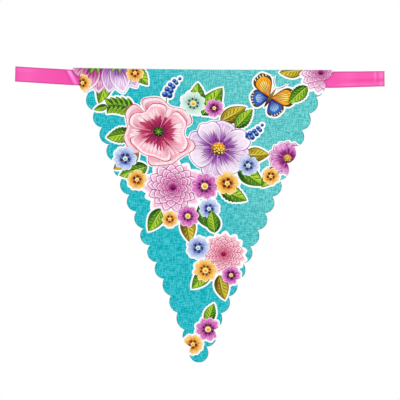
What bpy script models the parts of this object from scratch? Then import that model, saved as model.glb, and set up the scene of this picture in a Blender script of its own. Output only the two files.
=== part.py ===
"""A pennant of bunting on its ribbon: a scalloped triangle of stiff printed cloth, turned over a satin ribbon.

The cloth's top edge is folded to the back and stuck down, which makes a channel for the ribbon.
Frame: +X to the right seen from the front, +Z up, +Y towards the back. Metres.
The origin is the middle of the fold's top, at the ribbon's mid-plane.
"""

import math

import bmesh
import bpy
from mathutils import Matrix, Vector

MM = 0.001
MERGE = 0.001 * MM

# Scalloped edge
SCALLOP_PITCH = 12.1 * MM
SCALLOP_RISE = 3.45 * MM
SIDE_SCALLOPS = 16
TOP_SCALLOP_SHARE = 0.61
TIP_SCALLOP_RISE = 10.5 * MM
HALF_TIP_ANGLE = math.radians(23.05)
NOTCH_SHIFT = 0.45 * MM
SCALLOP_STEPS = 9
TIP_STEPS = 18

# How much further out than the usual rise each scallop stands, in millimetres from the tip up
LEFT_CRESTS = [0.0, -0.7, -0.5, -0.55, 0.2, 0.6, 0.75, 0.0, 0.45, 0.35, 0.3, 0.3, 0.3, 0.05, 0.1, 0.0, 0.0]
RIGHT_CRESTS = [0.6, -0.6, -0.25, -0.1, 0.4, 0.15, -0.25, 0.3, 0.15, 0.1, 0.3, 0.0, 0.6, 0.0, 0.0, 0.0, 0.0]

# Cloth and the channel in its fold
CLOTH = 1.0 * MM
RIBBON_WIDTH = 10.3 * MM
RIBBON_THICKNESS = 1.0 * MM
RIBBON_ROUNDING = 0.25 * MM
GAP = 0.3 * MM
RIBBON_TOP = -1.5 * MM
TURNED_EDGE = 18.0 * MM
TURNED_END_INSET = 2.6 * MM
FOLD_STEPS = 10

# How the cloth hangs
HANG_TILT = math.radians(0.45)
CUT_SKEW = math.radians(0.3)
BOW_LEFT = 2.2 * MM
BOW_RIGHT = 3.6 * MM
TIP_CURL = 2.4 * MM
CURL_START = -60.0 * MM
CLOTH_CELL = 8.0 * MM

# How the ribbon runs
RIBBON_LEFT = -125.3 * MM
RIBBON_RIGHT = 122.1 * MM
RISE_LEFT = math.radians(3.35)
RISE_RIGHT = math.radians(1.95)
RISE_ROUNDING = 3.0 * MM
LIFT = 0.5 * MM
LIFT_LENGTH = 8.0 * MM
RIBBON_TWIST = math.radians(8.0)
TWIST_START = 90.0 * MM
FLAT_END = 12.0 * MM
CREASE_HEIGHT = 0.5 * MM
CREASE_HALF_WIDTH = 1.3 * MM
CREASE_MIDDLE = -89.0 * MM
CREASE_LEAN = 0.75
RIBBON_STEP = 4.0 * MM
CREASE_STEP = 0.8 * MM
RIBBON_STRIPS = 4

# Sizes that follow
SIDE_LENGTH = SCALLOP_PITCH * (1 + SIDE_SCALLOPS + TOP_SCALLOP_SHARE)
POINT_DEPTH = SIDE_LENGTH * math.cos(HALF_TIP_ANGLE)
HALF_WIDTH = SIDE_LENGTH * math.sin(HALF_TIP_ANGLE) + SCALLOP_RISE
CHANNEL_HALF = RIBBON_THICKNESS / 2 + GAP
OUTER_HALF = CHANNEL_HALF + CLOTH
RIBBON_BOTTOM = RIBBON_TOP - RIBBON_WIDTH
CHANNEL_BOTTOM = RIBBON_BOTTOM - 2 * GAP
EDGE_AT = HALF_WIDTH - SCALLOP_RISE
LIFT_START = EDGE_AT + 2 * MM

CLOTH_COLOUR = (0.02, 0.52, 0.57, 1.0)
RIBBON_COLOUR = (0.93, 0.10, 0.42, 1.0)


def clear_scene():
    for obj in list(bpy.data.objects):
        bpy.data.objects.remove(obj, do_unlink=True)


def collection(name):
    group = bpy.data.collections.new(name)
    bpy.context.scene.collection.children.link(group)
    return group


def cloth_material(name, colour, roughness):
    material = bpy.data.materials.new(name)
    material.use_nodes = True
    surface = material.node_tree.nodes["Principled BSDF"]
    surface.inputs["Base Color"].default_value = colour
    surface.inputs["Roughness"].default_value = roughness
    surface.inputs["Metallic"].default_value = 0.0
    return material


def arc(start, end, rise, steps):
    """Points of the arc from start to end, without end, that stands rise to the left of the line between them."""
    chord = end - start
    radius = chord.length**2 / (8 * rise) + rise / 2
    outward = Vector((-chord.y, chord.x)).normalized()
    centre = (start + end) / 2 + outward * (rise - radius)
    from_angle = math.atan2(start.y - centre.y, start.x - centre.x)
    to_angle = math.atan2(end.y - centre.y, end.x - centre.x)
    turn = (to_angle - from_angle) % -math.tau
    return [
        centre + radius * Vector((math.cos(a), math.sin(a)))
        for a in (from_angle + turn * i / steps for i in range(steps))
    ]


def notch(side, number):
    """The inner corner between two scallops, counted up from the tip. side is 1 on the right and -1 on the left."""
    along = SCALLOP_PITCH * (1 + number) + NOTCH_SHIFT
    return Vector((side * along * math.sin(HALF_TIP_ANGLE), along * math.cos(HALF_TIP_ANGLE) - POINT_DEPTH))


def crest(side, number):
    """How far a scallop stands out from the line between its notches."""
    return SCALLOP_RISE + (RIGHT_CRESTS if side > 0 else LEFT_CRESTS)[number] * MM


def scalloped_outline():
    """The cut shape, clockwise seen from the front, closed by a straight line above the fold."""
    points = []
    for number in range(SIDE_SCALLOPS + 1, 0, -1):
        points += arc(notch(1, number), notch(1, number - 1), crest(1, number - 1), SCALLOP_STEPS)
    points += arc(notch(1, 0), notch(-1, 0), TIP_SCALLOP_RISE, TIP_STEPS)
    for number in range(SIDE_SCALLOPS + 1):
        points += arc(notch(-1, number), notch(-1, number + 1), crest(-1, number), SCALLOP_STEPS)
    points.append(notch(-1, SIDE_SCALLOPS + 1))
    skew = Matrix.Rotation(-CUT_SKEW, 2)
    return [skew @ p for p in points]


def half_turn(radius, first, last):
    """The fold's bend in the section, about a centre one outer radius under the fold's top."""
    return [
        Vector((radius * math.cos(a), radius * math.sin(a) - OUTER_HALF))
        for a in (first + (last - first) * i / FOLD_STEPS for i in range(FOLD_STEPS + 1))
    ]


def section_outline():
    """The folded cloth's section seen from the end: depth across, height up. The turned edge lies on the front cloth."""
    stuck_face = CLOTH - CHANNEL_HALF
    return (
        [Vector((-OUTER_HALF, -POINT_DEPTH))]
        + half_turn(OUTER_HALF, math.pi, 0)
        + [
            Vector((OUTER_HALF, CHANNEL_BOTTOM + CLOTH)),
            Vector((stuck_face + CLOTH / 2, CHANNEL_BOTTOM - CLOTH / 2)),
            Vector((stuck_face, CHANNEL_BOTTOM - 2 * CLOTH)),
            Vector((stuck_face, -TURNED_EDGE)),
            Vector((-CHANNEL_HALF, -TURNED_EDGE)),
            Vector((-CHANNEL_HALF, -POINT_DEPTH)),
        ]
    )


def channel_outline():
    return half_turn(CHANNEL_HALF, math.pi, 0) + [
        Vector((CHANNEL_HALF, CHANNEL_BOTTOM + CLOTH / 2)),
        Vector((-CHANNEL_HALF, CHANNEL_BOTTOM - CLOTH / 2)),
    ]


def extruded(name, outlines, half_length, turned, group):
    """A closed mesh from flat outlines, extruded both ways. Outlines inside another one are holes."""
    curve = bpy.data.curves.new(name, "CURVE")
    curve.dimensions = "2D"
    curve.fill_mode = "BOTH"
    curve.extrude = half_length
    for outline in outlines:
        spline = curve.splines.new("POLY")
        spline.points.add(len(outline) - 1)
        spline.use_cyclic_u = True
        for point, place in zip(spline.points, outline):
            point.co = (place.x, place.y, 0, 1)
    drawn = bpy.data.objects.new(name + "_outline", curve)
    group.objects.link(drawn)
    bpy.context.view_layer.update()
    graph = bpy.context.evaluated_depsgraph_get()
    mesh = bpy.data.meshes.new_from_object(drawn.evaluated_get(graph))
    bpy.data.objects.remove(drawn, do_unlink=True)
    mesh.transform(turned)
    work = bmesh.new()
    work.from_mesh(mesh)
    bmesh.ops.remove_doubles(work, verts=work.verts, dist=MERGE)
    bmesh.ops.recalc_face_normals(work, faces=work.faces)
    work.to_mesh(mesh)
    work.free()
    solid = bpy.data.objects.new(name, mesh)
    group.objects.link(solid)
    return solid


def upright(depth=0.0):
    """Turns an outline drawn in the plane to stand in X and Z, at a depth along Y."""
    return Matrix.Translation((0, depth, 0)) @ Matrix.Rotation(math.pi / 2, 4, "X")


def endwise():
    """Turns a section drawn in the plane so that its first number runs along Y and its second along Z."""
    return Matrix(((0, 0, 1, 0), (1, 0, 0, 0), (0, 1, 0, 0), (0, 0, 0, 1)))


def turned_end(side):
    """The corner that is cut off one end of the turned edge, so that it doesn't show beside the front."""
    slope = math.tan(HALF_TIP_ANGLE)
    inset = EDGE_AT - TURNED_END_INSET / math.cos(HALF_TIP_ANGLE)
    below, above = -TURNED_EDGE - CLOTH, CLOTH
    corners = [
        Vector((inset + slope * above, above)),
        Vector((inset + slope * below, below)),
        Vector((HALF_WIDTH + TURNED_EDGE, below)),
        Vector((HALF_WIDTH + TURNED_EDGE, above)),
    ]
    return [Vector((side * p.x, p.y)) for p in corners]


def bow(x):
    """How far the cloth stands back at x: a shallow curve, straight on past the cloth's edges."""
    most = BOW_RIGHT if x > 0 else BOW_LEFT
    share = abs(x) / HALF_WIDTH
    return most * (share**2 if share < 1 else 2 * share - 1)


def curl(z):
    """How far the cloth comes forward at z, towards its tip."""
    below = max(0.0, CURL_START - z)
    return TIP_CURL * (below / (POINT_DEPTH + CURL_START)) ** 2


def cut_across(work, axis, places):
    """Cuts every face along planes square to an axis, so that the mesh can bend there."""
    normal = Vector([float(i == axis) for i in range(3)])
    for place in places:
        everything = list(work.verts) + list(work.edges) + list(work.faces)
        bmesh.ops.bisect_plane(work, geom=everything, dist=MERGE, plane_co=normal * place, plane_no=normal)


def steps_between(first, last, step):
    count = max(1, round((last - first) / step))
    return [first + (last - first) * i / count for i in range(1, count)]


def bend(obj, across, down, moved):
    """Cuts a flat solid into cells and moves each of its points."""
    work = bmesh.new()
    work.from_mesh(obj.data)
    cut_across(work, 0, across)
    cut_across(work, 2, down)
    for vert in work.verts:
        vert.co = moved(vert.co)
    bmesh.ops.triangulate(work, faces=[f for f in work.faces if len(f.verts) > 4])
    work.to_mesh(obj.data)
    work.free()


def make_pennant(group, helpers):
    pennant = extruded("pennant", [section_outline(), channel_outline()], HALF_WIDTH + CLOTH, endwise(), group)
    cutters = [
        (extruded("scallops", [scalloped_outline()], 4 * OUTER_HALF, upright(), helpers), "INTERSECT"),
        (extruded("end_left", [turned_end(-1)], OUTER_HALF, upright(OUTER_HALF), helpers), "DIFFERENCE"),
        (extruded("end_right", [turned_end(1)], OUTER_HALF, upright(OUTER_HALF), helpers), "DIFFERENCE"),
    ]
    for cutter, operation in cutters:
        cutter.hide_render = True
        cutter.display_type = "WIRE"
        cut = pennant.modifiers.new(cutter.name, "BOOLEAN")
        cut.operation = operation
        cut.object = cutter
    bpy.context.view_layer.update()
    graph = bpy.context.evaluated_depsgraph_get()
    pennant.data = bpy.data.meshes.new_from_object(pennant.evaluated_get(graph))
    pennant.modifiers.clear()
    bend(
        pennant,
        steps_between(-HALF_WIDTH, HALF_WIDTH, CLOTH_CELL),
        steps_between(-POINT_DEPTH, -TURNED_EDGE - CLOTH, CLOTH_CELL),
        lambda p: p + Vector((0, bow(p.x) - curl(p.z), 0)),
    )
    pennant.data.materials.append(cloth_material("printed_cloth", CLOTH_COLOUR, 0.7))
    return pennant


def rise(x):
    """How far the ribbon climbs outside the cloth, towards what holds its ends."""
    slope = math.tan(RISE_RIGHT if x > 0 else RISE_LEFT)
    beyond = max(0.0, abs(x) - EDGE_AT)
    share = min(1.0, max(0.0, (abs(x) - LIFT_START) / LIFT_LENGTH))
    return slope * (math.hypot(beyond, RISE_ROUNDING) - RISE_ROUNDING) + LIFT * share**2 * (3 - 2 * share)


def twist(x):
    """How far the ribbon has turned about its length at x. It is even over each flat end."""
    finish = (RIBBON_RIGHT if x > 0 else -RIBBON_LEFT) - FLAT_END
    share = min(1.0, max(0.0, (abs(x) - TWIST_START) / (finish - TWIST_START)))
    return RIBBON_TWIST * share**2 * (3 - 2 * share)


def crease(x, height):
    """The soft slanting ridge where the ribbon bends into the cloth's left edge."""
    off = (x - CREASE_MIDDLE + CREASE_LEAN * height) / CREASE_HALF_WIDTH
    return CREASE_HEIGHT * math.exp(-off * off)


def ribbon_point(p):
    """Where a point of the straight ribbon goes. p.z is its height from the ribbon's middle line."""
    angle = twist(p.x)
    middle = Vector((p.x, bow(p.x), (RIBBON_TOP + RIBBON_BOTTOM) / 2 + rise(p.x)))
    leaning = Vector((0, p.y * math.cos(angle) + p.z * math.sin(angle), p.z * math.cos(angle) - p.y * math.sin(angle)))
    return middle + leaning - Vector((0, crease(p.x, p.z), 0))


def ribbon_cuts():
    left_flat, right_flat = RIBBON_LEFT + FLAT_END, RIBBON_RIGHT - FLAT_END
    near, far = CREASE_MIDDLE - 5 * CREASE_HALF_WIDTH, CREASE_MIDDLE + 5 * CREASE_HALF_WIDTH
    return (
        [left_flat]
        + steps_between(left_flat, near, RIBBON_STEP)
        + [near]
        + steps_between(near, far, CREASE_STEP)
        + [far]
        + steps_between(far, right_flat, RIBBON_STEP)
        + [right_flat]
    )


def make_ribbon(group):
    size = Vector((RIBBON_RIGHT - RIBBON_LEFT, RIBBON_THICKNESS, RIBBON_WIDTH))
    middle = Vector(((RIBBON_RIGHT + RIBBON_LEFT) / 2, 0, 0))
    mesh = bpy.data.meshes.new("ribbon")
    work = bmesh.new()
    bmesh.ops.create_cube(work, size=1, matrix=Matrix.Translation(middle) @ Matrix.Diagonal(size).to_4x4())
    long_edges = [e for e in work.edges if abs(e.verts[0].co.x - e.verts[1].co.x) > RIBBON_WIDTH]
    bmesh.ops.bevel(
        work, geom=long_edges, offset=RIBBON_ROUNDING, segments=2, profile=0.5, affect="EDGES", clamp_overlap=True
    )
    work.to_mesh(mesh)
    work.free()
    ribbon = bpy.data.objects.new("ribbon", mesh)
    group.objects.link(ribbon)
    strips = steps_between(-RIBBON_WIDTH / 2, RIBBON_WIDTH / 2, RIBBON_WIDTH / RIBBON_STRIPS)
    bend(ribbon, ribbon_cuts(), strips, ribbon_point)
    mesh.materials.append(cloth_material("satin_ribbon", RIBBON_COLOUR, 0.35))
    return ribbon


def main():
    clear_scene()
    parts = collection("bunting")
    helpers = collection("cutters")
    hanging = bpy.data.objects.new("hanging_line", None)
    hanging.rotation_euler = (0, HANG_TILT, 0)
    parts.objects.link(hanging)
    for piece in (make_pennant(parts, helpers), make_ribbon(parts)):
        piece.parent = hanging
    bpy.context.view_layer.update()


main()
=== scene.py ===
"""A scalloped pennant of bunting on its ribbon, seen from the front in soft studio light.

The pennant is one sheet of cloth. It is cut flat, printed flat and then folded over the ribbon, so the print,
the weave and the cut edge follow the cloth. The ribbon is a strip of pink satin.
Lengths in the cutting and printing are in millimetres. What goes into a mesh is in metres.
"""

import math
import random

import bpy
import numpy as np
from mathutils import Matrix, Vector
from mathutils.geometry import delaunay_2d_cdt


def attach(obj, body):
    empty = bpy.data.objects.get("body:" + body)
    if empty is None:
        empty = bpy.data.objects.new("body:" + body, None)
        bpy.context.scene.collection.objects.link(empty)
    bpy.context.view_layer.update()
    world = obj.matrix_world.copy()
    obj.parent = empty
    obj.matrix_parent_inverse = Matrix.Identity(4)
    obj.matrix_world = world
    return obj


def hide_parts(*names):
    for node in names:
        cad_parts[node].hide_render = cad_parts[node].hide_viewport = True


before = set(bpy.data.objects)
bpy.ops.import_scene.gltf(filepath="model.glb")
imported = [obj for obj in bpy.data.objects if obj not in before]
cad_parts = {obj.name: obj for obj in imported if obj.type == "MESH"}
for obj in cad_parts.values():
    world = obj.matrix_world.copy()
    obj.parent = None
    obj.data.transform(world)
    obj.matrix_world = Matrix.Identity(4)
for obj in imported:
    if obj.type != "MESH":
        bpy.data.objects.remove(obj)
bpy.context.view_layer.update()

MM = 0.001

# The cut, as in the part
PITCH = 12.1
SCALLOP_RISE = 3.45
SIDE_SCALLOPS = 16
TOP_SHARE = 0.61
TIP_RISE = 10.5
HALF_TIP = math.radians(23.05)
NOTCH_SHIFT = 0.45
CUT_SKEW = math.radians(0.3)
SIDE_LENGTH = PITCH * (1 + SIDE_SCALLOPS + TOP_SHARE)
DEPTH = SIDE_LENGTH * math.cos(HALF_TIP)
NOTCH_HALF = SIDE_LENGTH * math.sin(HALF_TIP)
HALF_WIDTH = NOTCH_HALF + SCALLOP_RISE
SCALLOP_STEPS = 12
TIP_STEPS = 26
# How much further out than the usual rise each scallop stands, from the tip up
LEFT_CRESTS = [0.0, -0.7, -0.5, -0.55, 0.2, 0.6, 0.75, 0.0, 0.45, 0.35, 0.3, 0.3, 0.3, 0.05, 0.1, 0.0, 0.0]
RIGHT_CRESTS = [0.6, -0.6, -0.25, -0.1, 0.4, 0.15, -0.25, 0.3, 0.15, 0.1, 0.3, 0.0, 0.6, 0.0, 0.0, 0.0, 0.0]

# The fold, as in the part, in thinner cloth
FOLD_RADIUS = 1.8
FOLD_STEPS = 24
CLOTH = 0.6
# Depth and height of the turned edge, from the end of the fold's arc down
TURNED_BACK = [
    (1.8, -1.8), (1.78, -5.0), (1.6, -8.5), (1.22, -11.0), (0.62, -12.6),
    (-0.05, -13.9), (-0.42, -15.2), (-0.5, -16.6), (-0.5, -18.0),
]
# How far over the fold's top the front's full width goes on. How far in from the notches the turned edge's
# slanting ends lie behind it, and where they get a point
TURNED_CORNER = 0.7
TURNED_INSET = 2.6
TURNED_POINTS = [1.4, 4.0, 8.0, 12.0, 16.0]
# The way to either side over which the cloth's slope is taken, to keep bends soft
SLOPE_REACH = 0.35

# How it hangs, as in the part
HANG_TILT = math.radians(0.45)
BOW_LEFT, BOW_RIGHT = 2.2, 3.6
SAG, CORNER_LIFT, SAG_FADE = 0.2, 0.77, 15.0
TIP_CURL, CURL_START = 2.4, -60.0
# Its unevenness: how deep, how long across and down, and over what height below the fold it grows
BROAD_RIPPLE, BROAD_ACROSS, BROAD_DOWN = 0.16, 23.0, 31.0
FINE_RIPPLE, FINE_ACROSS, FINE_DOWN = 0.07, 9.0, 14.0
RIPPLE_GROWTH = 30.0

# The cloth's triangles: rows round the fold and down the turned edge, and steps over the rest
FOLD_ROWS, TURNED_ROWS = 15, 14
PRINTED_STEP, PRINTED_FOLD_STEP, INNER_STEP = 3.0, 4.0, 6.0
# How far inside the cut edge the ground's darker line, painted shade along the edge, ends and the inner
# face's grid begins
EDGE_LINE, GRID_MARGIN = 0.45, 0.8
# Edges that bend less than this many degrees are smooth
SMOOTH_CLOTH, SMOOTH_RIBBON = 35, 40
# How much of its own coordinates a millimetre of the flat cloth takes
FLAT_SCALE = 0.01

# The ribbon, as in the part, and thinner
RIBBON_WIDTH, RIBBON_THICK = 10.35, 0.45
RIBBON_TOP = -0.95
RIBBON_LEFT, RIBBON_RIGHT = -125.3, 122.1
RIBBON_REACH = RIBBON_RIGHT - RIBBON_LEFT
RIBBON_COLUMNS, RIBBON_ROWS = 340, 12
RISE_LEFT, RISE_RIGHT, RISE_ROUNDING = math.radians(3.35), math.radians(1.95), 3.0
TWIST, TWIST_START, FLAT_END = math.radians(8.0), 90.0, 12.0
CREASE_HEIGHT, CREASE_HALF, CREASE_AT, CREASE_LEAN = 0.45, 1.5, -87.0, 0.56
# Its waves: how deep, how long, where they start and over what length they grow
BROAD_WAVES = (0.12, 6.5, 88.0, 10.0)
FINE_WAVES = (0.077, 1.15, 104.0, 12.0)
# How much wider than its ends it lies, by its place along
RIBBON_SPREAD = ([70.0, 86.0, 94.0, 104.0, 112.0, 118.0], [1.0, 1.06, 1.05, 1.03, 1.025, 1.01])

# Painted sheen where the satin bends: where along the ribbon, and how pale the painted sheen makes it
SATIN_PAINTED_SHEEN = [
    (-125.3, 0.03), (-121.0, 0.14), (-116.0, 0.16), (-106.0, 0.06), (-92.0, 0.0), (88.0, 0.04), (98.0, 0.16),
    (106.0, 0.03), (117.9, 0.04), (118.6, 0.2), (119.4, 0.42), (120.6, 0.4), (121.6, 0.2),
]
# The colours of the satin's painted shade and painted highlight
SATIN_PAINTED_SHADE = (0.69, 0.02, 0.26)
SATIN_PAINTED_HIGHLIGHT = (0.9, 0.24, 0.6)
# Painted shade and painted highlights that run along it: how far up, how wide, how strong, where they are
# gone and where they are full
PAINTED_LONG_SHADING = [
    (0.42, 0.2, 0.8, 84.0, 112.0, SATIN_PAINTED_SHADE),
    (0.15, 0.14, 0.15, 84.0, 96.0, SATIN_PAINTED_HIGHLIGHT),
    (0.8, 0.2, 0.16, -106.0, -120.0, SATIN_PAINTED_HIGHLIGHT),
]
# Painted shadow and highlight that cross it, at the crease and at the right end's waves: where, how wide, how
# strong, the share left at the lower edge, and whether they slant
PAINTED_CROSS_SHADING = [
    (CREASE_AT - 2.5, 1.1, 0.5, 1.0, (0.55, 0.02, 0.22), True),
    (CREASE_AT + 0.3, 2.0, 0.9, 0.55, (0.95, 0.3, 0.8), True),
    (CREASE_AT + 3.4, 1.8, 0.5, 1.0, (0.6, 0.045, 0.27), True),
    (115.7, 1.2, 0.5, 0.0, SATIN_PAINTED_HIGHLIGHT, False),
    (117.4, 0.9, 0.4, 0.7, SATIN_PAINTED_SHADE, False),
]
# Ribs across the satin, picks along it, and the distance between the cloth's threads
SATIN_RIBS, SATIN_PICKS = 44, 700
THREAD_PITCH = 0.42

# Print colours, as red, green and blue from 0 to 255: deep, middle and pale, or one alone
CORAL = ((186, 34, 84), (240, 116, 150), (255, 206, 217))
ROSE = ((164, 30, 116), (234, 128, 188), (252, 218, 238))
LILAC = ((140, 50, 160), (220, 172, 222), (250, 236, 250))
MAGENTA = ((130, 20, 110), (206, 64, 176), (238, 150, 214))
PERIWINKLE = ((84, 104, 192), (156, 182, 234), (214, 226, 250))
AMBER = ((206, 104, 12), (252, 176, 36), (255, 222, 120))
MINT = ((104, 180, 156), (184, 226, 208), (232, 248, 240))
BLUE = ((18, 34, 120), (48, 100, 200), (150, 200, 248))
GREEN = ((28, 77, 17), (98, 156, 32), (186, 218, 58))
OLIVE = ((88, 66, 16), (161, 140, 32), (222, 206, 60))
YELLOW = ((226, 150, 20), (252, 208, 48), (255, 240, 150))
PLUM = ((60, 18, 60), (112, 40, 96), (170, 96, 150))
WHITE = (255, 255, 255)
INK = (42, 22, 40)
GROUND = (0, 188, 199)
# The ground's colour at its upper right: partly a lighter tint of the print, partly painted sheen of the
# light from the upper right
GROUND_TINT_AND_SHEEN = (105, 202, 202)
# A darker teal just inside the cut edge: painted shade along the edge
GROUND_EDGE_PAINTED_SHADE = (6, 160, 172)
# The share of light that white cotton gives back
COTTON = 0.80

# The white halo round each motif, the thickness of stems, the size of buds and the cuts in a toothed leaf
HALO = 1.15
STEM_HALF = 0.4
BUD = 2.1
TEETH = 0.12

# How near points merge, how far a straight line may stray, and how many points are tested at a time
MERGE = 0.004
STRAIGHT = 0.004
BLOCK = 4000
# Where an outline turns back so sharply that the two sides' directions all but cancel, only the first counts
SHARP = 0.3

# The photograph: its side and the place of the fold's middle in pixels, and the millimetres in a pixel
PICTURE = 400
FOLD_RIGHT, FOLD_DOWN = 202.55, 68.95
PIXEL = 0.6653
# How far in front of the ribbon's middle plane a pixel shows that much, and what the lights point at
FACE_DEPTH = 1.5
AIM = Vector((0.0, 0.0, -0.07))


def linear(colour):
    """A colour from 0 to 255 as light."""
    share = [c / 255 for c in colour]
    return [COTTON * (s / 12.92 if s <= 0.04045 else ((s + 0.055) / 1.055) ** 2.4) for s in share]


def unit(vectors):
    """The vectors at a length of 1."""
    return vectors / np.maximum(np.linalg.norm(vectors, axis=-1, keepdims=True), 1e-9)


# Cutting out


def arc(start, end, rise, steps):
    """Points from start up to end, on the arc that stands rise to the left of the line between them."""
    chord = end - start
    radius = chord.length**2 / (8 * rise) + rise / 2
    outward = Vector((-chord.y, chord.x)).normalized()
    centre = (start + end) / 2 + outward * (rise - radius)
    first = math.atan2(start.y - centre.y, start.x - centre.x)
    last = math.atan2(end.y - centre.y, end.x - centre.x)
    sweep = (last - first) % -math.tau
    angles = [first + sweep * i / steps for i in range(steps)]
    return [centre + radius * Vector((math.cos(a), math.sin(a))) for a in angles]


def notch(side, number):
    along = PITCH * (1 + number) + NOTCH_SHIFT
    return Vector((side * along * math.sin(HALF_TIP), along * math.cos(HALF_TIP) - DEPTH))


def crest(side, number):
    """How far a scallop stands out from the line between its notches."""
    return SCALLOP_RISE + (RIGHT_CRESTS if side > 0 else LEFT_CRESTS)[number]


def front_outline():
    """The scalloped cut below the fold's top, seen from the front, clockwise from its top right corner."""
    points = []
    for number in range(SIDE_SCALLOPS + 1, 0, -1):
        points += arc(notch(1, number), notch(1, number - 1), crest(1, number - 1), SCALLOP_STEPS)
    points += arc(notch(1, 0), notch(-1, 0), TIP_RISE, TIP_STEPS)
    for number in range(SIDE_SCALLOPS + 1):
        points += arc(notch(-1, number), notch(-1, number + 1), crest(-1, number), SCALLOP_STEPS)
    points = [Matrix.Rotation(-CUT_SKEW, 2) @ p for p in points]
    kept = []
    for before, after in zip(points, points[1:]):
        if (before.y <= 0) != (after.y <= 0):
            kept.append(before.lerp(after, before.y / (before.y - after.y)))
        if after.y <= 0:
            kept.append(after)
    return kept


class Fold:
    """The folded cloth's section.

    along is the distance over the outer face from the fold's top, less than 0 in front.
    """

    def __init__(self):
        self.quarter = math.pi / 2 * FOLD_RADIUS
        angles = [math.pi * i / FOLD_STEPS for i in range(FOLD_STEPS + 1)]
        over = [(-FOLD_RADIUS * math.cos(a), FOLD_RADIUS * math.sin(a) - FOLD_RADIUS) for a in angles]
        below_the_tip = (-FOLD_RADIUS, -DEPTH - 2 * TIP_RISE)
        self.places = np.array([below_the_tip] + over + TURNED_BACK[1:])
        steps = np.linalg.norm(np.diff(self.places, axis=0), axis=1)
        self.along = np.concatenate([[0], np.cumsum(steps)])
        self.along -= self.along[1] + self.quarter
        self.end = float(self.along[-1])

    def at(self, along):
        """Depth and height on the outer face."""
        return np.stack([np.interp(along, self.along, self.places[:, k]) for k in (0, 1)], axis=-1)

    def outward(self, along):
        slope = unit(self.at(along + SLOPE_REACH) - self.at(along - SLOPE_REACH))
        return np.stack([-slope[..., 1], slope[..., 0]], axis=-1)

    def unrolled(self, height):
        """The distance along the front for a height that is seen from the front."""
        if height >= -FOLD_RADIUS:
            return -FOLD_RADIUS * math.acos(max(-1.0, min(1.0, 1 + height / FOLD_RADIUS)))
        return height + FOLD_RADIUS - self.quarter


FOLD = Fold()


def flat_outline():
    """The whole cut, flat: the scalloped front and the turned edge above it. Clockwise."""
    front = [(p.x, FOLD.unrolled(p.y)) for p in front_outline()]
    inset = NOTCH_HALF - TURNED_INSET / math.cos(HALF_TIP)
    slope = math.tan(HALF_TIP)
    right = [(inset + slope * float(FOLD.at(row)[1]), row) for row in [*TURNED_POINTS, FOLD.end]]
    left = [(-x, row) for x, row in right]
    return front + [(front[-1][0], TURNED_CORNER)] + left + right[::-1] + [(front[0][0], TURNED_CORNER)]


def bow(x):
    most = np.where(x > 0, BOW_RIGHT, BOW_LEFT)
    share = np.abs(x) / HALF_WIDTH
    return most * np.where(share < 1, share**2, 2 * share - 1)


def curl(z):
    below = np.maximum(0.0, CURL_START - z)
    return TIP_CURL * (below / (DEPTH + CURL_START)) ** 2


def sag(x, z):
    """The fold gives a little under the cloth's weight between its corners."""
    return (CORNER_LIFT * (x / HALF_WIDTH) ** 2 - SAG) * np.exp(z / SAG_FADE)


def ripple(x, z):
    """The cloth's own slight unevenness."""
    broad = BROAD_RIPPLE * np.sin(x / BROAD_ACROSS + 0.6) * np.sin(z / BROAD_DOWN + 1.1)
    fine = FINE_RIPPLE * np.sin(x / FINE_ACROSS + z / FINE_DOWN)
    return (broad + fine) * np.clip(-z / RIPPLE_GROWTH, 0, 1)


def hung(x, y, z):
    """Turns places in millimetres by the hang's tilt, and into metres."""
    c, s = math.cos(HANG_TILT), math.sin(HANG_TILT)
    return np.stack([c * x + s * z, y, c * z - s * x], axis=1) * MM


def folded(flat, inwards):
    """Where flat points go once the cloth is folded and hung. inwards is the depth below its outer face."""
    x, along = flat.T
    y, z = (FOLD.at(along) - inwards * FOLD.outward(along)).T
    return hung(x, y + bow(x) - curl(z) + ripple(x, z), z + sag(x, z))


# Painting the print


class Painting:
    """Shapes on the flat cloth, each over those before it."""

    def __init__(self):
        self.shapes = []
        self.halos = []
        self.rnd = random.Random(20)

    def lay(self, outline, place, inner, outer, halo=0.0, ground=0.0):
        """Adds an outline that is given in its own space, where the second number runs from 0 to 1.

        ground is 0 for paint, 0.5 for cloth left white and 1 for the printed ground.
        """
        shape = {
            "outline": moved(outline, place),
            "back": np.linalg.inv(place)[:2],
            "inner": linear(inner),
            "outer": linear(outer),
            "seed": self.rnd.uniform(0, 50),
            "ground": ground,
        }
        self.shapes.append(shape)
        if halo:
            bare = {"inner": linear(WHITE), "outer": linear(WHITE), "ground": 0.5}
            self.halos.append(dict(shape, outline=grown(shape["outline"], halo), **bare))


def moved(points, place):
    return (np.c_[np.array(points), np.ones(len(points))] @ place.T)[:, :2]


def grown(outline, by):
    """An outline moved outwards."""
    x, y = outline.T
    if np.sum(x * np.roll(y, -1) - y * np.roll(x, -1)) < 0:
        outline = outline[::-1]
    first = unit(outline - np.roll(outline, 1, axis=0))
    second = unit(np.roll(outline, -1, axis=0) - outline)
    out = np.stack([first[:, 1] + second[:, 1], -first[:, 0] - second[:, 0]], axis=1)
    turns_back = np.linalg.norm(out, axis=1, keepdims=True) <= SHARP
    return outline + by * np.where(turns_back, np.stack([first[:, 1], -first[:, 0]], axis=1), unit(out))


def shift(x, y):
    return np.array([[1, 0, x], [0, 1, y], [0, 0, 1.0]])


def turn(angle):
    """Turns clockwise, so that angle 0 points up and a quarter turn points right."""
    c, s = math.cos(angle), math.sin(angle)
    return np.array([[c, s, 0], [-s, c, 0], [0, 0, 1.0]])


def stretch(across, along):
    return np.diag([across, along, 1.0])


def standing(x, y, angle, squash=1.0):
    """A motif's place: where it stands, how far it is turned and how much it is pressed together."""
    return shift(x, y) @ turn(angle) @ stretch(1.0, squash)


def circle(count, start=0.0):
    """Angles evenly round a circle."""
    return [math.tau * (i + start) / count for i in range(count)]


def every_other(angles):
    """The angles of the petals that lie under, and then of those between them."""
    return angles[::2] + angles[1::2]


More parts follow.
